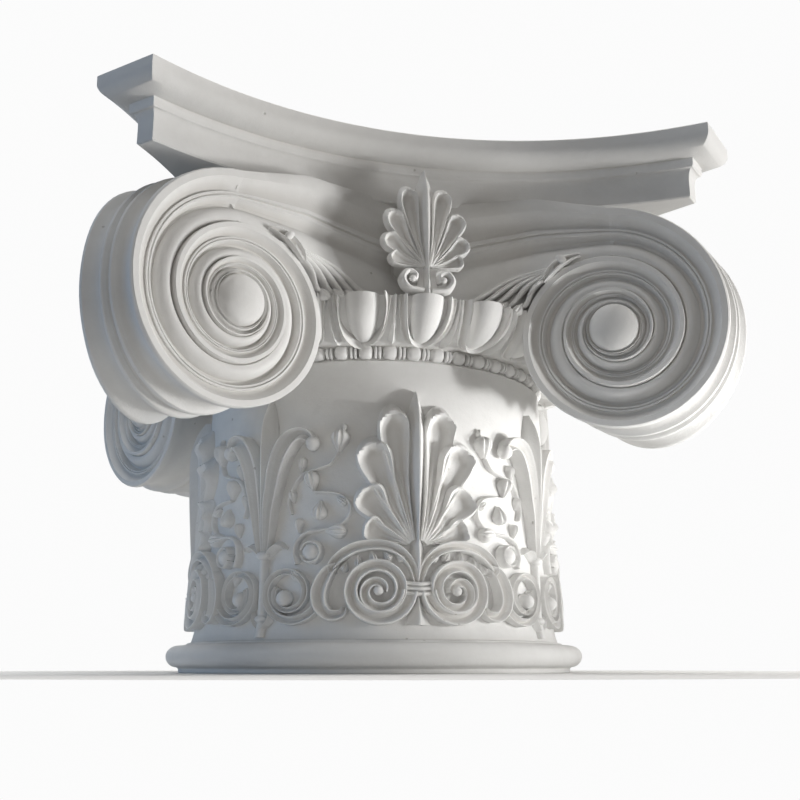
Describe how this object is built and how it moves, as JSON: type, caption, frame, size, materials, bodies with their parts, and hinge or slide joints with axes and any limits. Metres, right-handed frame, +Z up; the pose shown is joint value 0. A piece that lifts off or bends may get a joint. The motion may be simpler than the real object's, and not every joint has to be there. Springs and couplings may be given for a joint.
{
  "type": "column capital",
  "caption": "Angular Ionic column capital with corner volutes, an egg-and-dart echinus and a neck carved with palmettes, scrolls and lotus.",
  "frame": {"origin": "centre of the flat underside of the foot ring", "axes": "+Z up through the middle of the neck to the abacus, -Y towards the middle of one side, +X towards the middle of the next side on the viewer's right"},
  "size_m": [0.478, 0.478, 0.398],
  "materials": {
    "plaster": "matte"
  },
  "bodies": {
    "root": {"column_capital": "plaster"}
  },
  "joints": []
}
